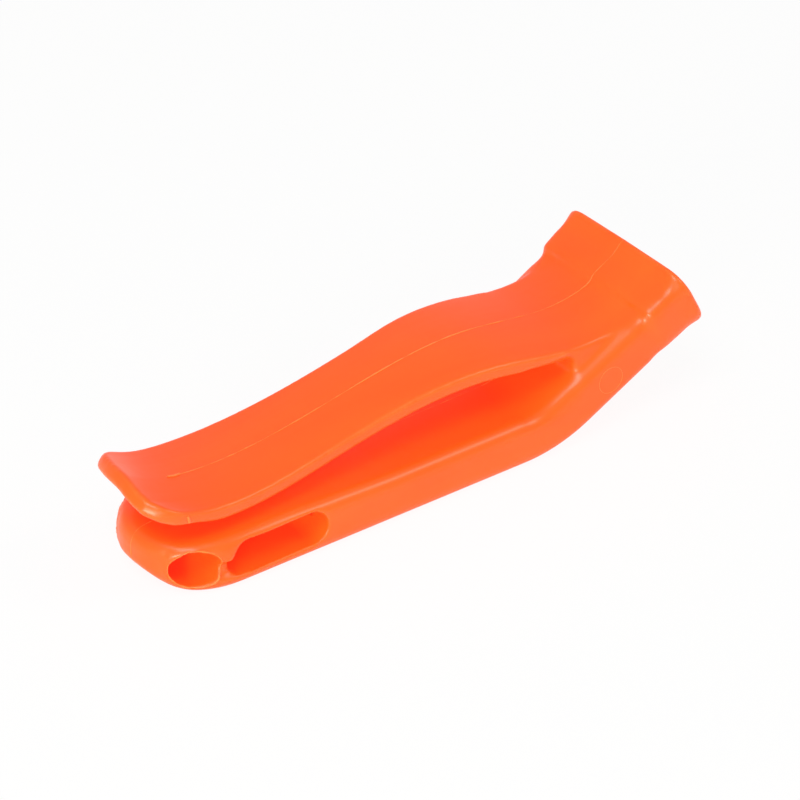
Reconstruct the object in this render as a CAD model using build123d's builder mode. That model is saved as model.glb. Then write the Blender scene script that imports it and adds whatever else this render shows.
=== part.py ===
# Flat training whistle with a sprung belt clip, in one orange plastic.
# Two mirror-image halves are welded on the mid-plane, and a thin divider between them parts the
# left and right air paths. Each half of the clip grows out of its half of the body at a thin root.
# Millimetres. +X points to the mouthpiece and +Z to the clip; the whistle lies on its flat underside.
# "Left" is the player's left with the clip up, which is the -Y side.
import os
from math import cos, radians, sin

from build123d import *

os.makedirs("parts", exist_ok=True)

# Body, measured from the nose tip
body_nose_length = 9.5
body_nose_half_width = 8.6
body_nose_height = 6.75
body_waist_height = 6.2
body_waist_x = 30.0
body_shoulder_x = 14.0
body_top_round = 1.6
body_bottom_round = 1.8
nose_lift_height = 2.6
nose_lift_length = 3.0
nose_lift_radius = 6.0

# Neck, a flat tube that rises from the body
bend_x = 53.8
neck_angle = 28.0
neck_thickness = 6.8
neck_length = 17.3
neck_half_width = 9.9
bend_radius = 20.0
neck_root_radius = 9.0

# Head: a low collar step with a crowned top, then a bite rim that flares most at the top
collar_step = 0.4
head_straight = 3.1
head_crown = 0.8
head_top_corner = 1.4
head_bottom_corner = 2.8
flare_length = 2.9
flare_side = 0.8
flare_top = 1.75
flare_bottom = 0.65
rim_corner = 4.0
rim_round = 0.45

# Mouth opening and air passage
rim_wall = 1.9
mouth_corner = 2.2
mouth_narrow_width = 12.5
mouth_narrow_height = 3.0
mouth_narrow_at = 6.0
windway_half_width = 5.6
windway_slit = 1.1
windway_slit_z = 3.7
windway_bend_x = 50.0
windway_bend_low = 1.9

# Lanyard hole, side window and the shallow dip in the side between them
hole_x = 4.15
hole_z = 3.45
hole_radius = 2.3
window_left_x = 7.9
window_length = 12.8
window_bottom_z = 1.6
window_height = 4.2
window_lead_round = 2.6
window_foot_round = 0.9
dip_bottom_z = 1.7
dip_height = 2.15
dip_depth = 0.5

# Centre divider
divider_thickness = 1.2
divider_margin = 0.25
divider_clearance = 0.05
divider_hold = 0.7
divider_corner = 0.4

# Clip: a crowned spring band over the body
clip_thickness = 1.7
clip_crown = 0.5
clip_tip_x = -0.5
clip_tip_z = 14.4
clip_curl_x = 4.3
clip_curl_z = 11.9
clip_low_x = 9.8
clip_low_z = 11.05
clip_rise_x = 28.5
clip_rise_z = 13.0
clip_crest_x = 46.5
clip_crest_z = 14.75
clip_root_x = 60.6
clip_root_z = 13.35
clip_merge_setback = 0.8
clip_merge_rise = 0.6
clip_end_rise = 0.5
clip_lead_bow = 0.7
clip_tip_half_width = 7.6
clip_tip_corner = 3.4
clip_waist_x = 33.0
clip_waist_half_width = 6.5
clip_root_half_width = 8.1
clip_full_x = 56.0
clip_edge = 0.45

# Clip root and the flexing line across it
gap_end_x = 56.4
flex_x = 53.8
flex_radius = 2.0
flex_clearance = 0.05
flex_drop = 0.3
root_block_rise = 0.7

# Frame: the origin is the middle of the footprint, on the ground
neck_cos = cos(radians(neck_angle))
neck_sin = sin(radians(neck_angle))
head_length = head_straight + flare_length
rim_at = neck_length + head_length
rim_half_width = neck_half_width + collar_step + flare_side
rim_height = neck_thickness + 2 * collar_step + flare_top + flare_bottom
rim_middle = (flare_top - flare_bottom) / 2
rim_foot_x = bend_x + rim_at * neck_cos + (collar_step + flare_bottom) * neck_sin
rim_foot_x = rim_foot_x - rim_round * (neck_cos + neck_sin - 1)
clip_merge_along = neck_length - clip_merge_setback
merge_out = neck_thickness + clip_merge_rise
clip_end_along = neck_length + rim_round
clip_end_out = neck_thickness + clip_end_rise
clip_top_points = [
    (clip_tip_x, clip_tip_z),
    (clip_curl_x, clip_curl_z),
    (clip_low_x, clip_low_z),
    (clip_rise_x, clip_rise_z),
    (clip_crest_x, clip_crest_z),
    (clip_root_x, clip_root_z),
    (
        bend_x + clip_merge_along * neck_cos - merge_out * neck_sin,
        clip_merge_along * neck_sin + merge_out * neck_cos,
    ),
    (
        bend_x + clip_end_along * neck_cos - clip_end_out * neck_sin,
        clip_end_along * neck_sin + clip_end_out * neck_cos,
    ),
]
clip_tip_slope = (Spline(*clip_top_points) % 0).Y
tip_foot_x = clip_tip_x + clip_thickness * clip_tip_slope
shift = -(tip_foot_x + rim_foot_x) / 2


def at(x, z):
    """A point of the side view, x from the nose tip and z from the ground."""
    return (x + shift, z)


def neck_point(along, out):
    """A point of the side view, along the neck's underside from the bend and out from it."""
    x = bend_x + along * neck_cos - out * neck_sin
    return at(x, along * neck_sin + out * neck_cos)


def neck_plane(along):
    """The plane across the neck, centred in its thickness; local x runs to +Y, local y upwards."""
    x, z = neck_point(along, neck_thickness / 2)
    return Plane(origin=(x, 0, z), x_dir=(0, 1, 0), z_dir=(neck_cos, 0, neck_sin))


collar_x = bend_x + neck_length * neck_cos
taper = (neck_half_width - body_nose_half_width) / (collar_x - body_nose_length)


def half_width(x):
    """Half the body's width at x, growing evenly from the nose to the collar."""
    return body_nose_half_width + taper * (x - body_nose_length)


def is_upper(edge):
    """True for an edge on the clip's side of the body or neck."""
    c = edge.center()
    if c.X < bend_x + shift:
        return c.Z > body_waist_height / 2
    return c.Z * neck_cos - (c.X - shift - bend_x) * neck_sin > neck_thickness / 2


side_reach = rim_half_width + 3
tall = 2 * rim_at + 2 * neck_thickness
neck_end = neck_plane(neck_length)

# The neck's top line meets the body's top line here
root_along = (body_waist_height - neck_thickness * neck_cos) / neck_sin
root_point = neck_point(root_along, neck_thickness)


def nearest(edges, point):
    """The edge across the whistle that passes nearest a point of the side view."""
    return edges.sort_by_distance((point[0], 0, point[1]))[0]


def head_section(along, flare):
    """The head's outline across the neck: flare is 0 on the straight part and 1 at the rim."""
    side = neck_half_width + collar_step + flare_side * flare
    top = neck_thickness / 2 + collar_step + flare_top * flare
    low = -neck_thickness / 2 - collar_step - flare_bottom * flare
    crown = head_crown * (1 - 0.9 * flare)
    with BuildSketch(neck_plane(along)) as section:
        with BuildLine():
            crest = ThreePointArc((-side, top), (0, top + crown), (side, top))
            Polyline(crest @ 1, (side, low), (-side, low), crest @ 0)
        make_face()
        uppers = section.vertices().group_by(Axis.Y)[-1]
        fillet(uppers, head_top_corner + (rim_corner - head_top_corner) * flare)
        lowers = section.vertices().group_by(Axis.Y)[0]
        fillet(lowers, head_bottom_corner + (rim_corner - head_bottom_corner) * flare)
    return section.sketch


# ---------------------------------------------------------------- outer form of body, neck and head
with BuildPart() as whistle_form:
    with BuildSketch(Plane.XZ):
        with BuildLine():
            Polyline(
                at(0, nose_lift_height),
                at(nose_lift_length, 0),
                at(bend_x, 0),
                neck_point(neck_length, 0),
                neck_point(neck_length, neck_thickness),
                root_point,
                at(body_waist_x, body_waist_height),
                at(body_shoulder_x, body_nose_height),
                at(0, body_nose_height),
                close=True,
            )
        make_face()
    extrude(amount=side_reach, both=True)
    across = whistle_form.edges().filter_by(Axis.Y)
    fillet(nearest(across, at(bend_x, 0)), bend_radius)
    across = whistle_form.edges().filter_by(Axis.Y)
    fillet(nearest(across, root_point), neck_root_radius)
    across = whistle_form.edges().filter_by(Axis.Y)
    fillet(nearest(across, at(nose_lift_length, 0)), nose_lift_radius)
    with BuildSketch(Plane.XY):
        with BuildLine():
            nose = Spline(
                at(0, 0),
                at(body_nose_length * (1 - cos(radians(45))), body_nose_half_width * sin(radians(45))),
                at(body_nose_length, body_nose_half_width),
                tangents=((0, 1), (1, taper)),
            )
            far_x = collar_x + neck_thickness
            side = Line(nose @ 1, at(far_x, half_width(far_x)))
            Polyline(side @ 1, at(far_x, 0), nose @ 0)
        make_face()
        mirror(about=Plane.XZ)
    extrude(amount=tall, mode=Mode.INTERSECT)
    end_face = whistle_form.faces().sort_by_distance(neck_end.origin)[0]
    end_edges = [edge.center() for edge in end_face.edges()]
    rims = whistle_form.edges().filter_by(Axis.Z, reverse=True).filter_by(Axis.Y, reverse=True)
    rims = rims.filter_by(lambda edge: all((edge.center() - c).length > 0.01 for c in end_edges))
    lower_middles = [edge.center() for edge in rims if not is_upper(edge)]
    fillet(rims.filter_by(is_upper), body_top_round)
    fillet([whistle_form.edges().sort_by_distance(c)[0] for c in lower_middles], body_bottom_round)
    # Head: collar step, straight part and flared rim
    add(head_section(neck_length, 0))
    extrude(amount=head_straight, dir=neck_end.z_dir)
    for stage in (0, 0.35, 0.7, 1):
        add(head_section(neck_length + head_straight + flare_length * stage, stage**2))
    loft()
    rim_face = whistle_form.faces().sort_by_distance(neck_plane(rim_at).origin)[0]
    fillet(rim_face.edges(), rim_round)

# ---------------------------------------------------------------- clip band, with its crown and waist
with BuildPart() as clip_form:
    with BuildLine(Plane.XZ) as clip_line:
        Spline(*[at(x, z) for x, z in clip_top_points])
    band_half = clip_root_half_width + 1
    band_crown = clip_crown * (band_half / clip_waist_half_width) ** 2
    start = clip_line.line @ 0
    root_end = clip_root_x + shift - clip_thickness
    with BuildSketch(Plane(origin=start, x_dir=(0, 1, 0), z_dir=clip_line.line % 0)):
        with BuildLine():
            top = ThreePointArc((-band_half, -band_crown), (0, 0), (band_half, -band_crown))
            under = ThreePointArc(
                (-band_half, -band_crown - clip_thickness),
                (0, -clip_thickness),
                (band_half, -band_crown - clip_thickness),
            )
            Line(top @ 0, under @ 0)
            Line(top @ 1, under @ 1)
        make_face()
    sweep(path=clip_line.line)
    with BuildSketch(Plane.XY):
        with BuildLine():
            lead = Line(at(-tall, clip_tip_half_width), at(clip_curl_x, clip_tip_half_width))
            edge = Spline(
                lead @ 1,
                at(clip_waist_x, clip_waist_half_width),
                at(clip_full_x, clip_root_half_width),
                tangents=((1, 0), (1, 0)),
            )
            Polyline(edge @ 1, at(collar_x, clip_root_half_width), at(collar_x, 0), at(-tall, 0), lead @ 0)
        make_face()
        mirror(about=Plane.XZ)
    extrude(amount=tall, mode=Mode.INTERSECT)
    tip_slope = clip_line.line % 0
    with BuildSketch(Plane(origin=start, x_dir=(0, 1, 0), z_dir=(-tip_slope.Z, 0, tip_slope.X))):
        with BuildLine():
            corner_y = clip_tip_half_width - clip_tip_corner
            lead = Spline(
                (0, 0),
                (corner_y, -clip_lead_bow),
                (clip_tip_half_width, -clip_lead_bow - clip_tip_corner),
                tangents=((1, 0), (0, -1)),
            )
            Polyline(lead @ 1, (clip_tip_half_width, -tall), (0, -tall), lead @ 0)
        make_face()
        mirror(about=Plane.YZ)
        with Locations((0, -tall / 2 - clip_lead_bow - clip_tip_corner)):
            Rectangle(2 * side_reach, tall)
    extrude(amount=tall, both=True, mode=Mode.INTERSECT)
    fillet(clip_form.edges().filter_by(lambda edge: edge.center().X < root_end), clip_edge)

# ---------------------------------------------------------------- clip root, flexing line and cuts
flex_z = clip_crest_z - (clip_thickness + clip_crown) / 2 - flex_drop
flex_point = at(flex_x, flex_z)

with BuildPart() as root_block:
    with BuildSketch(Plane.XZ):
        with BuildLine():
            top_z = clip_root_z - clip_crown - clip_thickness / 2
            Polyline(
                at(gap_end_x, top_z + root_block_rise),
                at(clip_root_x, top_z),
                neck_point(clip_merge_along, neck_thickness),
                neck_point(clip_merge_along, neck_thickness / 2),
                at(gap_end_x, body_waist_height),
                close=True,
            )
        make_face()
    extrude(amount=clip_root_half_width, both=True)

with BuildPart() as clip_side:
    with BuildSketch(Plane.XZ):
        with Locations(flex_point):
            Circle(flex_radius)
        with BuildLine():
            Polyline(
                (flex_point[0], -tall),
                (flex_point[0], tall),
                (flex_point[0] - tall, tall),
                (flex_point[0] - tall, -tall),
                close=True,
            )
        make_face()
    extrude(amount=side_reach, both=True)

with BuildPart() as socket_cut:
    with BuildSketch(Plane.XZ):
        with Locations(flex_point):
            Circle(flex_radius + flex_clearance)
        with BuildLine():
            Polyline(
                (flex_point[0], -tall),
                (flex_point[0], tall),
                (flex_point[0] - tall, tall),
                (flex_point[0] - tall, -tall),
                close=True,
            )
        make_face()
    extrude(amount=side_reach, both=True)

with BuildPart() as body_form:
    add(clip_form.part)
    add(root_block.part)
    add(socket_cut.part, mode=Mode.SUBTRACT)
    add(whistle_form.part)

# ---------------------------------------------------------------- openings and air passage
mouth_width = 2 * (rim_half_width - rim_wall)
mouth_height = rim_height - 2 * rim_wall
window_middle = at(window_left_x + window_length / 2, window_bottom_z + window_height / 2)
window_right_x = window_left_x + window_length
window_top_z = window_bottom_z + window_height
narrow_low = (neck_thickness - mouth_narrow_height) / 2
narrow_high = narrow_low + mouth_narrow_height

with BuildPart() as side_openings:
    with BuildSketch(Plane.XZ):
        with Locations(window_middle):
            Rectangle(window_length, window_height)
        lefts = vertices().group_by(Axis.X)[0].sort_by(Axis.Y)
        fillet(lefts[0], window_foot_round)
        lefts = vertices().sort_by_distance((*at(window_left_x, window_top_z), 0))[0]
        fillet(lefts, window_lead_round)
        rights = vertices().sort_by_distance((*at(window_right_x, window_top_z), 0))[0]
        fillet(rights, window_height / 2 - 0.01)
        rights = vertices().sort_by_distance((*at(window_right_x, window_bottom_z), 0))[0]
        fillet(rights, window_height / 2 - 0.01)
    extrude(amount=side_reach, both=True)
    with BuildSketch(Plane.XZ):
        with Locations(at(hole_x, hole_z)):
            Circle(hole_radius)
    extrude(amount=side_reach, both=True)
    with BuildSketch(Plane.XZ.offset(half_width(window_left_x) - dip_depth)):
        with Locations(at((hole_x + window_left_x) / 2 + window_foot_round, dip_bottom_z + dip_height / 2)):
            Rectangle(window_left_x - hole_x + 2 * window_foot_round, dip_height)
    extrude(amount=side_reach)

with BuildPart() as air_way:
    with BuildSketch(neck_plane(rim_at + rim_wall)):
        with Locations((0, rim_middle)):
            RectangleRounded(mouth_width, mouth_height, mouth_corner)
    with BuildSketch(neck_plane(mouth_narrow_at)):
        RectangleRounded(mouth_narrow_width, mouth_narrow_height, mouth_corner / 2)
    loft()
    with BuildSketch(Plane.XZ):
        with BuildLine():
            Polyline(
                at(window_right_x - windway_slit, windway_slit_z - windway_slit / 2),
                at(windway_bend_x, windway_bend_low),
                neck_point(mouth_narrow_at + rim_wall, narrow_low),
                neck_point(mouth_narrow_at + rim_wall, narrow_high),
                at(windway_bend_x, windway_bend_low + mouth_narrow_height),
                at(window_right_x - windway_slit, windway_slit_z + windway_slit / 2),
                close=True,
            )
        make_face()
    extrude(amount=windway_half_width, both=True)


def divider_outline(grow):
    """The divider's side view, or its seat's when grown by the clearance."""
    left = window_left_x - divider_hold - grow
    right = windway_bend_x - divider_hold + grow
    low = window_bottom_z - divider_margin - grow
    high = window_top_z + divider_margin + grow
    turn = window_right_x + divider_margin + grow
    slit_reach = windway_slit / 2 + divider_hold + grow
    return [
        at(left, low),
        at(turn, low),
        at(turn + divider_hold, windway_slit_z - slit_reach),
        at(right, windway_bend_low - divider_hold - grow),
        at(right, windway_bend_low + mouth_narrow_height + divider_margin + grow),
        at(turn + divider_hold, windway_slit_z + slit_reach),
        at(turn, high),
        at(left, high),
    ]


with BuildPart() as divider_seat:
    with BuildSketch(Plane.XZ):
        with BuildLine():
            Polyline(*divider_outline(divider_clearance), close=True)
        make_face()
    extrude(amount=divider_thickness / 2, both=True)

# ---------------------------------------------------------------- nodes
with BuildPart() as left_body_half:
    add(body_form.part)
    add(side_openings.part, mode=Mode.SUBTRACT)
    add(air_way.part, mode=Mode.SUBTRACT)
    add(divider_seat.part, mode=Mode.SUBTRACT)
    split(bisect_by=Plane.XZ, keep=Keep.TOP)
left_body_half.part.label = "left_body_half"

with BuildPart() as right_body_half:
    mirror(left_body_half.part, about=Plane.XZ)
right_body_half.part.label = "right_body_half"

with BuildPart() as left_clip_half:
    add(clip_form.part)
    add(clip_side.part, mode=Mode.INTERSECT)
    split(bisect_by=Plane.XZ, keep=Keep.TOP)
left_clip_half.part.label = "left_clip_half"

with BuildPart() as right_clip_half:
    mirror(left_clip_half.part, about=Plane.XZ)
right_clip_half.part.label = "right_clip_half"

with BuildPart() as centre_divider:
    with BuildSketch(Plane.XZ):
        with BuildLine():
            Polyline(*divider_outline(0), close=True)
        make_face()
    extrude(amount=divider_thickness / 2 - divider_clearance, both=True)
    edges_across = centre_divider.edges().filter_by(Axis.Y)
    fillet(edges_across, divider_corner)
centre_divider.part.label = "centre_divider"

export_step(left_body_half.part, "parts/left_body_half.step")
export_step(right_body_half.part, "parts/right_body_half.step")
export_step(left_clip_half.part, "parts/left_clip_half.step")
export_step(right_clip_half.part, "parts/right_clip_half.step")
export_step(centre_divider.part, "parts/centre_divider.step")
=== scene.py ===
from math import cos, pi, radians, sin

import bmesh
import bpy
import numpy as np
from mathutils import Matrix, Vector, noise


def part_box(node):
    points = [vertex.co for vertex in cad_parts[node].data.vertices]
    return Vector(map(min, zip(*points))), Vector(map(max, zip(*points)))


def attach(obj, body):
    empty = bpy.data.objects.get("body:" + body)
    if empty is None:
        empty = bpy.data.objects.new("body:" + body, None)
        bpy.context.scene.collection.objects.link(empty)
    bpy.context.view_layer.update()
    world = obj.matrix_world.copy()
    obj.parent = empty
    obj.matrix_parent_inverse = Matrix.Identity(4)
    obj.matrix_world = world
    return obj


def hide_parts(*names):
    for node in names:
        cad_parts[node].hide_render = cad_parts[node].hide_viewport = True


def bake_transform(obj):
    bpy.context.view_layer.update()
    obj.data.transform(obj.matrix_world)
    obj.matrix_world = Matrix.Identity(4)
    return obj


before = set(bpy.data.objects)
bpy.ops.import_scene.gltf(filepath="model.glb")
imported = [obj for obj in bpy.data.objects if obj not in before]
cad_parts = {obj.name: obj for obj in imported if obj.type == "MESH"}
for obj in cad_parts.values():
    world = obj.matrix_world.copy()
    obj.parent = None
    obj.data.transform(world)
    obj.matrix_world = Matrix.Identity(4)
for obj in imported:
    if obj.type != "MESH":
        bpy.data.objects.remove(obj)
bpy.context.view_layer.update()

MM = 0.001

# Places on the whistle, in metres from the nose tip or in the frame
nose_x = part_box("left_body_half")[0].x
clip_root_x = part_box("left_clip_half")[1].x + 0.2 * MM
bend_x = nose_x + 53.8 * MM
neck_angle = radians(28)
neck_thickness = 6.8 * MM
collar_along = 17.3 * MM
hole_x = nose_x + 4.15 * MM
hole_z = 3.45 * MM
hole_radius = 2.3 * MM
fork_start_z = 7.6 * MM
fork_rise = 2.8 / 56.4

# Soft forms of the moulding: places from the nose tip, and how far the skin is pushed
root_end_x = 52.5 * MM
window_end_x = 21.6 * MM
tongue_x = 7.4 * MM
tongue_z = 3.1 * MM
groove_x = 7.2 * MM
groove_z = 2.8 * MM
groove_depth = 0.55 * MM
hole_oval = 0.27 * MM
tip_underside_lift = 0.8 * MM
near_edge_inset = 0.42 * MM
far_crest_outset = 0.35 * MM

# The marks of the moulding: how thick they stand, and where they are, from the nose tip
body_seam_radius = 0.05 * MM
clip_seam_radius = 0.07 * MM
hole_flash_radius = 0.085 * MM
hole_flash_gap = 0.14 * MM
pin_mark_x = 60.6 * MM
pin_mark_z = 7.6 * MM
pin_mark_radius = 1.7 * MM
sliver_points = 17
nib_x = 2.9 * MM
nib_y = -5.5 * MM

# Where the rays start that look for the surface: above it, and beside it in -Y
far_above = 30 * MM
near_side = -20 * MM

# The air passage, as the mid-plane shows it: no seam is drawn there
wall_thickness = 0.8 * MM
chamber_start_x = 5 * MM
chamber_end_x = 23 * MM
chamber_roof = 6.3 * MM
windway_roof = 5.7 * MM
mouth_end_along = collar_along + 5.4 * MM

# How finely the skins are grown, weighed and cut
grain_size = 0.2 * MM
weight_steps = 80
cut_tolerance = 0.0005 * MM


# ------------------------------------------------------------------ hand tools
def clear_selection():
    """Leaves edit mode and selects nothing."""
    if bpy.context.object and bpy.context.object.mode != "OBJECT":
        bpy.ops.object.mode_set(mode="OBJECT")
    bpy.ops.object.select_all(action="DESELECT")


def take(piece):
    """Makes one piece the only selected and active one."""
    clear_selection()
    piece.select_set(True)
    bpy.context.view_layer.objects.active = piece
    return piece


def copy_of(piece, name):
    """A second piece with its own mesh."""
    second = piece.copy()
    second.data = piece.data.copy()
    second.parent = None
    for key in list(second.keys()):
        del second[key]
    second.name = name
    second.data.name = name
    bpy.context.collection.objects.link(second)
    return take(second)


def edit(piece, part="FACE"):
    """Opens a piece in edit mode with nothing picked."""
    take(piece)
    bpy.ops.object.mode_set(mode="EDIT")
    bpy.ops.mesh.select_mode(type=part)
    bpy.ops.mesh.select_all(action="DESELECT")
    return bmesh.from_edit_mesh(piece.data)


def pick_faces(piece, wanted):
    """Picks the faces whose middle passes a test, and stays in edit mode."""
    mesh = edit(piece)
    for face in mesh.faces:
        face.select = wanted(face.calc_center_median())
    bmesh.update_edit_mesh(piece.data)


def finish_with(piece, kind, **settings):
    """Adds one modifier with its settings and applies it."""
    take(piece)
    bpy.ops.object.modifier_add(type=kind)
    modifier = piece.modifiers[-1]
    for name, value in settings.items():
        setattr(modifier, name, value)
    bpy.ops.object.modifier_apply(modifier=modifier.name)


def smooth_to(piece, degrees):
    """Shades a piece smooth, with edges sharper than the angle left crisp."""
    take(piece)
    bpy.ops.object.shade_smooth_by_angle(angle=radians(degrees))


def cut(piece, place, facing):
    """Cuts what is picked with a plane, drops what lies beyond it, and closes the cut."""
    bpy.ops.mesh.bisect(plane_co=place, plane_no=facing, clear_outer=True, threshold=cut_tolerance)
    bpy.ops.mesh.fill()
    bpy.ops.mesh.select_all(action="DESELECT")
    bpy.ops.object.mode_set(mode="OBJECT")


def points_of(piece):
    """The points of a mesh as one array."""
    flat = np.empty(3 * len(piece.data.vertices))
    piece.data.vertices.foreach_get("co", flat)
    return flat.reshape(-1, 3)


def ramp(value, start, end):
    """0 before start, 1 past end, and smooth between."""
    t = np.clip((value - start) / (end - start), 0, 1)
    return t * t * (3 - 2 * t)


def band(value, middle, inner, outer):
    """1 within inner of the middle, 0 beyond outer, and smooth between."""
    return 1 - ramp(np.abs(value - middle), inner, outer)


def weigh(piece, name, weights):
    """Stores weights in a vertex group, to steer a modifier."""
    group = piece.vertex_groups.new(name=name)
    steps = np.round(weights * weight_steps).astype(int)
    for step in range(1, weight_steps + 1):
        group.add([int(i) for i in np.nonzero(steps == step)[0]], step / weight_steps, "REPLACE")
    return name


# ------------------------------------------------------------------ the moulded skins
def half_shell(node, name):
    """A copy of one solid half, merged, and open on the mid-plane."""
    piece = copy_of(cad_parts[node], name)
    piece.data.materials.clear()
    bpy.ops.object.mode_set(mode="EDIT")
    bpy.ops.mesh.select_all(action="SELECT")
    bpy.ops.mesh.remove_doubles(threshold=0.002 * MM)
    pick_faces(piece, lambda middle: abs(middle.y) < 0.0005 * MM)
    bpy.ops.mesh.delete(type="FACE")
    bpy.ops.object.mode_set(mode="OBJECT")
    return piece


def neck_frame(x, z):
    """A side-view place as a distance along the neck from the bend, and out from its underside."""
    dx = x - bend_x
    return dx * cos(neck_angle) + z * sin(neck_angle), z * cos(neck_angle) - dx * sin(neck_angle)


def neck_place(points):
    """How far each point is along the neck from the bend, and out from its underside."""
    return neck_frame(points[:, 0], points[:, 2])


def above_fork(x, z):
    """How far a place is above the gap between clip and body."""
    return z - fork_start_z - (x - nose_x) * fork_rise


def soften(piece):
    """Rounds the nose, the collar step, the clip's root and tip, and the edges of the openings."""
    points = points_of(piece)
    u = points[:, 0] - nose_x
    side = np.abs(points[:, 1])
    z = points[:, 2]
    along, out = neck_place(points)
    body = above_fork(points[:, 0], z) < 0
    reach = np.hypot(points[:, 0] - hole_x, z - hole_z)
    nose = ramp(z, 4.6 * MM, 6.0 * MM) * (1 - ramp(u, 5 * MM, 13 * MM)) * body
    nose = nose * ramp(reach, 2.4 * MM, 3.0 * MM)
    collar = band(along, collar_along, 1.2 * MM, 2.6 * MM)
    crease = ramp(out, 6.0 * MM, 6.6 * MM) * ramp(u, 54.5 * MM, 56.5 * MM)
    crease = crease * (1 - ramp(along, 15 * MM, 16.5 * MM))
    crease = crease * ramp(side, 6.3 * MM, 7.2 * MM)
    root = band(u, root_end_x, 2.5 * MM, 4.5 * MM) * ramp(z, 5.0 * MM, 6.0 * MM)
    root = root * (1 - ramp(z, 11.5 * MM, 12.5 * MM))
    tongue = band(u, tongue_x, 0.7 * MM, 1.6 * MM) * ramp(side, 6.2 * MM, 6.8 * MM)
    tongue = tongue * band(z, tongue_z, 2.0 * MM, 2.8 * MM) * body
    soft = weigh(piece, "soft", np.maximum.reduce([nose, crease, 0.2 * tongue]))
    finish_with(piece, "SMOOTH", factor=0.5, iterations=60, vertex_group=soft)
    weld = band(points[:, 0], clip_root_x, 1.2 * MM, 2.8 * MM) * (z > 11 * MM)
    weld = weld * (1 - ramp(side, 6.6 * MM, 7.6 * MM))
    deep = weigh(piece, "deep", np.maximum.reduce([0.6 * collar, root, weld, 0.7 * nose]))
    finish_with(piece, "SMOOTH", factor=0.5, iterations=170, vertex_group=deep)
    points = points_of(piece)
    reach = np.hypot(points[:, 0] - hole_x, points[:, 2] - hole_z)
    edge = body * band(reach, hole_radius, 0.3 * MM, 0.7 * MM)
    window = body * ramp(u, 7 * MM, 8 * MM) * (1 - ramp(u, 21.2 * MM, 22 * MM)) * (side > 6 * MM)
    head = ramp(along, collar_along, collar_along + 1 * MM)
    corner = (1 - ramp(u, 1.5 * MM, 4 * MM)) * ramp(side, 4 * MM, 5.5 * MM) * (1 - body)
    mild = weigh(piece, "mild", np.maximum.reduce([0.6 * edge, 0.7 * window, head, corner]))
    finish_with(piece, "SMOOTH", factor=0.5, iterations=10, vertex_group=mild)
    piece.vertex_groups.clear()


def mark_edge_highlights(piece):
    """Stores how far each point stands proud of a smoothed copy, as the material's mask for a painted
    highlight on convex edges.
    """
    points = points_of(piece)
    facing = np.empty(points.size)
    piece.data.vertex_normals.foreach_get("vector", facing)
    calm = copy_of(piece, "calm_skin")
    finish_with(calm, "SMOOTH", factor=0.5, iterations=10)
    proud = ((points - points_of(calm)) * facing.reshape(-1, 3)).sum(axis=1)
    bpy.data.objects.remove(calm)
    # The painted highlight is mostly held back on the body's lower front, from the nose to the window's
    # end, where the hole and window sit.
    u = points[:, 0] - nose_x
    opening = (u > 0.8 * MM) * (u < window_end_x) * (points[:, 2] < 6.0 * MM)
    edge = piece.data.attributes.new("edge", "FLOAT", "POINT")
    edge.data.foreach_set("value", ramp(proud, 0.012 * MM, 0.07 * MM) * (1 - 0.8 * opening))


def push(piece, direction, amounts):
    """Moves points along one axis by their own amounts, in metres."""
    for sign in (-1, 1):
        share = np.clip(sign * amounts / MM, 0, 1)
        group = weigh(piece, "push", share)
        finish_with(
            piece, "DISPLACE", direction=direction, strength=sign * MM, mid_level=0, vertex_group=group
        )
        piece.vertex_groups.clear()


def warp_tip(piece):
    """Gives the clip's tip the uneven outline and the lean of the real moulding."""
    points = points_of(piece)
    u = points[:, 0] - nose_x
    side = points[:, 1] / MM
    rise = above_fork(points[:, 0], points[:, 2])
    clip = rise > 0
    tip = (1 - ramp(u, 0.5 * MM, 8 * MM)) * clip
    across = (-7.8, -6.6, -5.0, -3.0, 0, 3.5, 6.0, 7.8)
    set_back = (0.5, -0.25, -0.75, -0.6, 0, 0.2, 0.5, 1.0)
    push(piece, "X", np.interp(side, across, set_back) * MM * tip)
    underside = tip * ramp(-side, 2, 6.5) * (1 - ramp(rise, 1.2 * MM, 3.0 * MM))
    push(piece, "Z", tip_underside_lift * underside)
    slim = ramp(-side, 3, 6.5) * (1 - ramp(u, 18 * MM, 36 * MM)) * clip
    push(piece, "Y", near_edge_inset * slim)
    crest = ramp(side, 4, 6.5) * ramp(u, 34 * MM, 43 * MM) * (1 - ramp(u, 50 * MM, 55 * MM)) * clip
    push(piece, "Y", far_crest_outset * crest)
    finish_with(piece, "SMOOTH", factor=0.5, iterations=5, vertex_group=weigh(piece, "tip", tip))
    piece.vertex_groups.clear()


def shape_hole(piece):
    """Stretches the lanyard hole into a slight oval and grooves the web between it and the window."""
    points = points_of(piece)
    across = points[:, 0] - hole_x
    reach = np.hypot(across, points[:, 2] - hole_z)
    near = (1 - ramp(reach, 2.5 * MM, 3.4 * MM)) * (above_fork(points[:, 0], points[:, 2]) < 0)
    push(piece, "X", near * np.clip(across / hole_radius, -1, 1) * hole_oval)
    side = np.abs(points[:, 1])
    groove = band(points[:, 0] - nose_x, groove_x, 0.6 * MM, 1.3 * MM)
    groove = groove * band(points[:, 2], groove_z, 0.5 * MM, 1.4 * MM) * ramp(side, 4 * MM, 6 * MM)
    push(piece, "Y", -groove_depth * groove * np.sign(points[:, 1]))


def moulded_whistle():
    """Body and clip as one closed moulding."""
    whole = half_shell("left_body_half", "whole_skin")
    clip = half_shell("left_clip_half", "clip_shell")
    finish_with(clip, "DISPLACE", strength=0.07 * MM, mid_level=0)
    take(whole)
    clip.select_set(True)
    bpy.ops.object.join()
    finish_with(
        whole, "MIRROR", use_axis=(False, True, False), use_mirror_merge=True, merge_threshold=0.02 * MM
    )
    finish_with(whole, "REMESH", mode="VOXEL", voxel_size=grain_size)
    finish_with(whole, "SMOOTH", factor=0.5, iterations=4)
    soften(whole)
    warp_tip(whole)
    shape_hole(whole)
    mark_edge_highlights(whole)
    return whole


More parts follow.
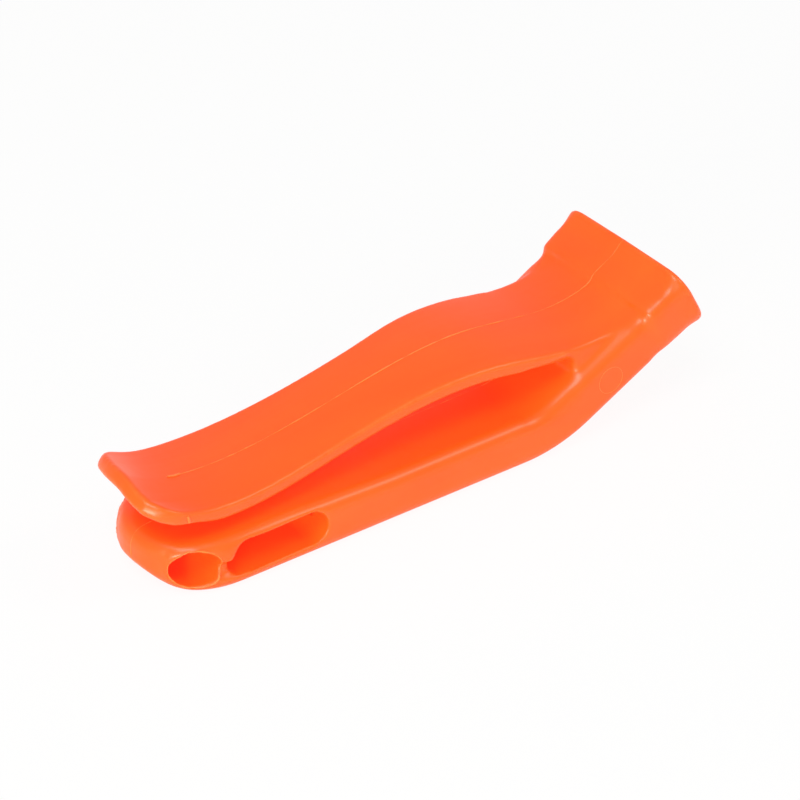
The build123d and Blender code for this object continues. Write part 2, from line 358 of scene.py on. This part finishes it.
def part_off_body(whole):
    """The moulding without the clip, closed where the clip leaves it."""
    body = copy_of(whole, "body_skin")
    pick_faces(body, lambda m: m.x < clip_root_x + 0.35 * MM and above_fork(m.x, m.z) > 0)
    cut(body, (clip_root_x, 0, 0), (-1, 0, 0))
    return body


def part_off_clip(whole):
    """The clip alone, closed at its root."""
    clip = copy_of(whole, "clip_skin")
    pick_faces(clip, lambda m: above_fork(m.x, m.z) < 0 or m.x > clip_root_x + 3 * MM)
    bpy.ops.mesh.delete(type="FACE")
    bpy.ops.mesh.select_all(action="SELECT")
    cut(clip, (clip_root_x, 0, 0), (1, 0, 0))
    return clip


def halve(piece, left_name, right_name):
    """Splits a closed skin on the mid-plane into its left and right halves."""
    halves = []
    for name, facing in ((left_name, (0, 1, 0)), (right_name, (0, -1, 0))):
        half = copy_of(piece, name)
        bpy.ops.object.mode_set(mode="EDIT")
        bpy.ops.mesh.select_all(action="SELECT")
        cut(half, (0, 0, 0), facing)
        smooth_to(half, 50)
        halves.append(half)
    return halves


def bend_with_clip(piece):
    """Bakes a clip piece's placement into its mesh."""
    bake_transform(piece)


whole_skin = moulded_whistle()
body_skin = part_off_body(whole_skin)
clip_skin = part_off_clip(whole_skin)
left_body, right_body = halve(body_skin, "left_body_skin", "right_body_skin")
left_clip, right_clip = halve(clip_skin, "left_clip_skin", "right_clip_skin")
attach(left_body, "body")
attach(right_body, "body")
bend_with_clip(left_clip)
bend_with_clip(right_clip)
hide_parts("left_body_half")
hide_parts("right_body_half")
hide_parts("left_clip_half")
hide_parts("right_clip_half")


# ------------------------------------------------------------------ seam, flash, pin mark and nib
def inside_passage(point):
    """True for a point of the mid-plane outline that lies in the air passage or the divider's seat."""
    along, out = neck_frame(point.x, point.z)
    if point.x < bend_x - 1 * MM:
        roof = chamber_roof if point.x < nose_x + chamber_end_x else windway_roof
        return wall_thickness < point.z < roof and point.x > nose_x + chamber_start_x
    return wall_thickness < out < neck_thickness - 0.7 * MM and along < mouth_end_along


def bead(name, routes, radius, unevenness, swell=0.0, closed=False):
    """A thin uneven ridge of plastic that follows one or more routes over the surface."""
    line = bpy.data.curves.new(name, "CURVE")
    line.dimensions = "3D"
    line.bevel_depth = radius
    line.bevel_resolution = 1
    line.use_fill_caps = True
    for route in routes:
        run = line.splines.new("POLY")
        run.points.add(len(route) - 1)
        run.use_cyclic_u = closed
        for point, place in zip(run.points, route):
            point.co = (*place, 1)
            size = 1 - 0.25 * swell + swell * noise.noise(Vector(place) * 130)
            rough = noise.noise(Vector(place) * 900) + 0.6 * noise.noise(Vector(place) * 4200)
            point.radius = min(max(0.2, size + unevenness * rough), 1.7)
    piece = bpy.data.objects.new(name, line)
    bpy.context.collection.objects.link(piece)
    take(piece)
    bpy.ops.object.convert(target="MESH")
    piece = bpy.context.object
    bpy.ops.object.mode_set(mode="EDIT")
    bpy.ops.mesh.select_all(action="SELECT")
    bpy.ops.mesh.remove_doubles(threshold=0.0005 * MM)
    bpy.ops.mesh.normals_make_consistent(inside=False)
    bpy.ops.object.mode_set(mode="OBJECT")
    smooth_to(piece, 80)
    return piece


def seam_routes(skin, keep):
    """Where the mid-plane crosses the outside of a skin, as runs of points."""
    outline = copy_of(skin, "outline")
    bpy.ops.object.mode_set(mode="EDIT")
    bpy.ops.mesh.select_all(action="SELECT")
    bpy.ops.mesh.bisect(
        plane_co=(0, 0, 0),
        plane_no=(0, 1, 0),
        clear_outer=True,
        clear_inner=True,
        threshold=cut_tolerance,
    )
    mesh = bmesh.from_edit_mesh(outline.data)
    bmesh.ops.delete(mesh, geom=[v for v in mesh.verts if not keep(v.co)], context="VERTS")
    bmesh.update_edit_mesh(outline.data)
    mesh.verts.ensure_lookup_table()
    routes = []
    seen = set()
    ends = [v for v in mesh.verts if len(v.link_edges) == 1] + list(mesh.verts)
    for first in ends:
        if first.index in seen:
            continue
        run = [first]
        seen.add(first.index)
        while True:
            onward = [e.other_vert(run[-1]) for e in run[-1].link_edges]
            onward = [v for v in onward if v.index not in seen]
            if not onward:
                break
            seen.add(onward[0].index)
            run.append(onward[0])
        if len(run) > 12:
            routes.append([tuple(v.co) for v in run[::2]])
    bpy.ops.object.mode_set(mode="OBJECT")
    bpy.data.objects.remove(outline)
    return routes


def surface_point(skin, x, z, from_y):
    """Where a line across the whistle first meets a skin."""
    inward = Vector((0, -1 if from_y > 0 else 1, 0))
    hit, place = skin.ray_cast(Vector((x, from_y, z)), inward)[:2]
    return place if hit else None


def top_point(skin, x, y):
    """Where a line from above first meets a skin."""
    return skin.ray_cast(Vector((x, y, far_above)), Vector((0, 0, -1)))[1]


def on_body_seam(point):
    """True where the mid-plane outline of the body shows as a seam."""
    joined = abs(point.x - clip_root_x) < 0.05 * MM and above_fork(point.x, point.z) > 0
    return not joined and not inside_passage(point)


def on_clip_seam(point):
    """True where the clip's mid-plane outline shows as a seam: it fades out before the tip."""
    return nose_x + 4.9 * MM < point.x < clip_root_x - 0.05 * MM


body_seam = bead("body_seam", seam_routes(body_skin, on_body_seam), body_seam_radius, 0.7, swell=1.0)
clip_seam = bead("clip_seam", seam_routes(clip_skin, on_clip_seam), clip_seam_radius, 0.8, swell=0.8)
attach(body_seam, "body")
bend_with_clip(clip_seam)

hole_flash = []
for side_name, from_y in (("left", near_side), ("right", -near_side)):
    ring = []
    for turn in range(96):
        angle = 2 * pi * turn / 96
        waver = 0.05 * MM * noise.noise(Vector((cos(angle), sin(angle), 0)) * 5)
        reach = hole_radius + hole_flash_gap + waver
        oval = reach + hole_oval
        place = surface_point(body_skin, hole_x + oval * cos(angle), hole_z + reach * sin(angle), from_y)
        if place is not None:
            ring.append(tuple(place))
    flash = bead(f"{side_name}_hole_flash", [ring], hole_flash_radius, 1.1, closed=True)
    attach(flash, "body")
    hole_flash.append(flash)


def pin_mark():
    """The faint ring that an ejector pin left on the side of the neck."""
    middle = surface_point(body_skin, nose_x + pin_mark_x, pin_mark_z, near_side)
    ring = []
    for turn in range(64):
        angle = 2 * pi * turn / 64
        x = middle.x + pin_mark_radius * cos(angle)
        z = middle.z + pin_mark_radius * sin(angle)
        ring.append(tuple(surface_point(body_skin, x, z, near_side)))
    return bead("pin_mark", [ring], 0.03 * MM, 0.5, closed=True)


pin_ring = pin_mark()
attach(pin_ring, "body")


def flash_sliver():
    """A short flake of flash that stands on the seam near the clip's tip."""
    route = []
    for step in range(sliver_points):
        x = nose_x + (5.2 + 0.1 * step) * MM
        place = top_point(clip_skin, x, 0.01 * MM)
        route.append((place.x, -0.12 * MM * sin(pi * step / (sliver_points - 1)), place.z + 0.05 * MM))
    return bead("flash_sliver", [route], 0.15 * MM, 0.5)


def gate_nib():
    """The small nib left where the plastic was cut at the clip's corner."""
    route = []
    x = nose_x + nib_x
    top = top_point(clip_skin, x, nib_y)
    for step in range(8):
        height = top.z - (0.5 + 0.13 * step) * MM
        place = surface_point(clip_skin, x + 0.03 * step * MM, height, near_side)
        if place is not None and place.y < -4 * MM:
            route.append(tuple(place))
    return bead("gate_nib", [route], 0.16 * MM, 0.5)


sliver = flash_sliver()
nib = gate_nib()
bend_with_clip(sliver)
bend_with_clip(nib)

bpy.data.objects.remove(whole_skin)
bpy.data.objects.remove(body_skin)
bpy.data.objects.remove(clip_skin)

skin_pieces = [left_body, right_body, left_clip, right_clip]
seam_pieces = [body_seam, clip_seam, sliver, nib, pin_ring, *hole_flash]


# ------------------------------------------------------------------ materials
def join(tree, source, target):
    """Links one socket to another."""
    tree.links.new(source, target)


def add_node(tree, kind, **settings):
    """Adds a shader node with its settings."""
    node = tree.nodes.new(kind)
    for name, value in settings.items():
        setattr(node, name, value)
    return node


def effect(name, inputs, outputs):
    """An empty shader node group with named sockets."""
    group = bpy.data.node_groups.new(name, "ShaderNodeTree")
    for label, kind, value in inputs:
        socket = group.interface.new_socket(label, in_out="INPUT", socket_type=kind)
        if value is not None:
            socket.default_value = value
    for label, kind in outputs:
        group.interface.new_socket(label, in_out="OUTPUT", socket_type=kind)
    return group, group.nodes.new("NodeGroupInput"), group.nodes.new("NodeGroupOutput")


def satin_grain():
    """Fine mould texture and soft sink waves: a height and a roughness."""
    group, given, out = effect(
        "satin_grain",
        [
            ("Grain Scale", "NodeSocketFloat", 9000.0),
            ("Wave Scale", "NodeSocketFloat", 160.0),
            ("Grain Share", "NodeSocketFloat", 0.12),
            ("Roughness", "NodeSocketFloat", 0.36),
            ("Roughness Spread", "NodeSocketFloat", 0.08),
        ],
        [("Height", "NodeSocketFloat"), ("Roughness", "NodeSocketFloat")],
    )
    place = add_node(group, "ShaderNodeTexCoord")
    grain = add_node(group, "ShaderNodeTexNoise")
    grain.inputs["Detail"].default_value = 3
    waves = add_node(group, "ShaderNodeTexNoise")
    waves.inputs["Detail"].default_value = 2
    for texture, scale in ((grain, "Grain Scale"), (waves, "Wave Scale")):
        join(group, place.outputs["Object"], texture.inputs["Vector"])
        join(group, given.outputs[scale], texture.inputs["Scale"])
    share = add_node(group, "ShaderNodeMath", operation="MULTIPLY_ADD")
    join(group, grain.outputs["Fac"], share.inputs[0])
    join(group, given.outputs["Grain Share"], share.inputs[1])
    join(group, waves.outputs["Fac"], share.inputs[2])
    join(group, share.outputs[0], out.inputs["Height"])
    centred = add_node(group, "ShaderNodeMath", operation="SUBTRACT")
    join(group, waves.outputs["Fac"], centred.inputs[0])
    centred.inputs[1].default_value = 0.5
    rough = add_node(group, "ShaderNodeMath", operation="MULTIPLY_ADD")
    join(group, centred.outputs[0], rough.inputs[0])
    join(group, given.outputs["Roughness Spread"], rough.inputs[1])
    join(group, given.outputs["Roughness"], rough.inputs[2])
    join(group, rough.outputs[0], out.inputs["Roughness"])
    return group


def flow_tint_and_highlight():
    """Drifts a colour between two tones, as the melt's flow leaves it, and lays a thin painted highlight
    along convex edges.
    """
    group, given, out = effect(
        "flow_tint_and_highlight",
        [
            ("Deep", "NodeSocketColor", (1, 0.1, 0.01, 1)),
            ("Light", "NodeSocketColor", (1, 0.15, 0.01, 1)),
            ("Edge Highlight", "NodeSocketColor", (1, 0.2, 0.02, 1)),
            ("Flow Scale", "NodeSocketFloat", 70.0),
            ("Edge Share", "NodeSocketFloat", 0.5),
        ],
        [("Color", "NodeSocketColor")],
    )
    place = add_node(group, "ShaderNodeTexCoord")
    stretch = add_node(group, "ShaderNodeMapping")
    stretch.inputs["Scale"].default_value = (0.35, 1, 1)
    flow = add_node(group, "ShaderNodeTexNoise")
    flow.inputs["Detail"].default_value = 4
    flow.inputs["Distortion"].default_value = 0.6
    join(group, place.outputs["Object"], stretch.inputs["Vector"])
    join(group, stretch.outputs["Vector"], flow.inputs["Vector"])
    join(group, given.outputs["Flow Scale"], flow.inputs["Scale"])
    spread = add_node(group, "ShaderNodeMapRange")
    spread.inputs["From Min"].default_value = 0.35
    spread.inputs["From Max"].default_value = 0.65
    join(group, flow.outputs["Fac"], spread.inputs["Value"])
    base = add_node(group, "ShaderNodeMix", data_type="RGBA")
    join(group, spread.outputs["Result"], base.inputs["Factor"])
    join(group, given.outputs["Deep"], base.inputs["A"])
    join(group, given.outputs["Light"], base.inputs["B"])
    # Painted highlight: the edge mask mixes the lighter highlight colour into the base colour.
    edge = add_node(group, "ShaderNodeAttribute", attribute_name="edge")
    amount = add_node(group, "ShaderNodeMath", operation="MULTIPLY")
    join(group, edge.outputs["Fac"], amount.inputs[0])
    join(group, given.outputs["Edge Share"], amount.inputs[1])
    lit = add_node(group, "ShaderNodeMix", data_type="RGBA")
    join(group, amount.outputs[0], lit.inputs["Factor"])
    join(group, base.outputs["Result"], lit.inputs["A"])
    join(group, given.outputs["Edge Highlight"], lit.inputs["B"])
    join(group, lit.outputs["Result"], out.inputs["Color"])
    return group


grain_effect = satin_grain()
tint_and_highlight_effect = flow_tint_and_highlight()


def orange_plastic(name, deep, light, edge, rough, wave, painted_glow, softness):
    """A slightly translucent fluorescent orange plastic with a mould grain, a painted highlight on its
    edges, and an emission that is painted light lifting its shade.
    """
    material = bpy.data.materials.new(name)
    material.use_nodes = True
    tree = material.node_tree
    shader = tree.nodes["Principled BSDF"]
    tint = add_node(tree, "ShaderNodeGroup", node_tree=tint_and_highlight_effect)
    tint.inputs["Deep"].default_value = (*deep, 1)
    tint.inputs["Light"].default_value = (*light, 1)
    tint.inputs["Edge Highlight"].default_value = (*edge, 1)
    join(tree, tint.outputs["Color"], shader.inputs["Base Color"])
    grain = add_node(tree, "ShaderNodeGroup", node_tree=grain_effect)
    grain.inputs["Roughness"].default_value = rough
    grain.inputs["Wave Scale"].default_value = wave
    join(tree, grain.outputs["Roughness"], shader.inputs["Roughness"])
    bump = add_node(tree, "ShaderNodeBump")
    bump.inputs["Strength"].default_value = 0.5
    bump.inputs["Distance"].default_value = 0.06 * MM
    join(tree, grain.outputs["Height"], bump.inputs["Height"])
    join(tree, bump.outputs["Normal"], shader.inputs["Normal"])
    shader.inputs["Subsurface Weight"].default_value = softness
    shader.inputs["Subsurface Radius"].default_value = (1.0, 0.3, 0.12)
    shader.inputs["Subsurface Scale"].default_value = 1.2 * MM
    shader.inputs["IOR"].default_value = 1.46
    # Painted light: this emission stands in for the fluorescence and for light bounced into the hollows,
    # and lifts the shaded parts.
    shader.inputs["Emission Color"].default_value = (1.0, 0.045, 0.02, 1)
    shader.inputs["Emission Strength"].default_value = painted_glow
    return material


# Each finish gives a deep and a light tone, the colour of the painted edge highlight, the roughness, the
# wave scale, the strength of the painted emission, and the subsurface weight.
shell_orange = orange_plastic(
    "shell_orange", (1, 0.094, 0.002), (1, 0.114, 0.004), (1, 0.28, 0.07), 0.3, 150, 0.3, 0.1
)
# The seam marks take a lighter copy of the orange: a painted highlight along the beads, the flash and
# the nib.
seam_highlight_orange = orange_plastic(
    "seam_highlight_orange", (1, 0.16, 0.02), (1, 0.26, 0.06), (1, 0.3, 0.08), 0.3, 900, 0.3, 0.1
)
divider_orange = orange_plastic(
    "divider_orange", (1, 0.09, 0.003), (1, 0.105, 0.004), (1, 0.13, 0.008), 0.5, 300, 0.3, 0.15
)
for pieces, finish in ((skin_pieces, shell_orange), (seam_pieces, seam_highlight_orange)):
    for piece in pieces:
        piece.data.materials.clear()
        piece.data.materials.append(finish)
for name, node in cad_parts.items():
    node.data.materials.clear()
    node.data.materials.append(divider_orange if name == "centre_divider" else shell_orange)

# ------------------------------------------------------------------ camera
view_azimuth = radians(37.18)
view_height = radians(33.47)
view_distance = 474.5 * MM
view_target = Vector((0.74, 0, 9.02)) * MM
away = Vector(
    (-sin(view_azimuth) * cos(view_height), -cos(view_azimuth) * cos(view_height), sin(view_height))
)
bpy.ops.object.camera_add()
camera = bpy.context.object
camera.location = view_target + view_distance * away
camera.rotation_euler = (-away).to_track_quat("-Z", "Y").to_euler()
camera.data.lens = 186.75
camera.data.clip_start = 0.01
bpy.context.scene.camera = camera

# ------------------------------------------------------------------ floor, background and lamps
clear_selection()
bpy.ops.mesh.primitive_plane_add(size=3, location=(0, 0, 0))
floor = bpy.context.object
floor.name = "floor"


def pale_floor():
    """White paper: the camera sees it near white, with a faint share of its shading."""
    material = bpy.data.materials.new("pale_floor")
    material.use_nodes = True
    tree = material.node_tree
    paper = tree.nodes["Principled BSDF"]
    paper.inputs["Roughness"].default_value = 0.8
    fibre = add_node(tree, "ShaderNodeTexNoise")
    fibre.inputs["Scale"].default_value = 500
    place = add_node(tree, "ShaderNodeTexCoord")
    join(tree, place.outputs["Object"], fibre.inputs["Vector"])
    shade = add_node(tree, "ShaderNodeMapRange")
    shade.inputs["To Min"].default_value = 0.86
    shade.inputs["To Max"].default_value = 0.9
    join(tree, fibre.outputs["Fac"], shade.inputs["Value"])
    join(tree, shade.outputs["Result"], paper.inputs["Base Color"])
    white = add_node(tree, "ShaderNodeEmission")
    rays = add_node(tree, "ShaderNodeLightPath")
    share = add_node(tree, "ShaderNodeMath", operation="MULTIPLY")
    share.inputs[1].default_value = 0.92
    join(tree, rays.outputs["Is Camera Ray"], share.inputs[0])
    blend = add_node(tree, "ShaderNodeMixShader")
    join(tree, share.outputs[0], blend.inputs[0])
    join(tree, paper.outputs[0], blend.inputs[1])
    join(tree, white.outputs[0], blend.inputs[2])
    join(tree, blend.outputs[0], tree.nodes["Material Output"].inputs["Surface"])
    return material


floor.data.materials.append(pale_floor())

world = bpy.data.worlds.new("studio")
bpy.context.scene.world = world
world.use_nodes = True
world_tree = world.node_tree
soft_light = world_tree.nodes["Background"]
soft_light.inputs["Color"].default_value = (1, 1, 1, 1)
soft_light.inputs["Strength"].default_value = 0.44
backdrop = add_node(world_tree, "ShaderNodeBackground")
backdrop.inputs["Strength"].default_value = 1.0
backdrop.inputs["Color"].default_value = (1, 1, 1, 1)
seen = add_node(world_tree, "ShaderNodeLightPath")
choose = add_node(world_tree, "ShaderNodeMixShader")
join(world_tree, seen.outputs["Is Camera Ray"], choose.inputs[0])
join(world_tree, soft_light.outputs[0], choose.inputs[1])
join(world_tree, backdrop.outputs[0], choose.inputs[2])
join(world_tree, choose.outputs[0], world_tree.nodes["World Output"].inputs["Surface"])
bpy.context.scene.view_settings.view_transform = "Standard"


def soft_lamp(name, place, size, power, tone=(1, 1, 1)):
    """A square studio softbox that faces the whistle."""
    bpy.ops.object.light_add(type="AREA", location=place)
    lamp = bpy.context.object
    lamp.name = name
    lamp.data.energy = power
    lamp.data.size = size
    lamp.data.color = tone
    lamp.rotation_euler = (-lamp.location).to_track_quat("-Z", "Y").to_euler()


soft_lamp("key_lamp", (-0.24, -0.16, 0.45), 0.22, 1.15)
soft_lamp("edge_lamp", (0.28, -0.28, 0.42), 0.16, 0.52, (1, 0.97, 0.82))
soft_lamp("front_lamp", (-0.3, -0.42, 0.16), 0.2, 0.4, (1, 0.97, 0.8))
soft_lamp("left_lamp", (-0.45, -0.28, 0.11), 0.13, 1.5, (1, 0.97, 0.8))
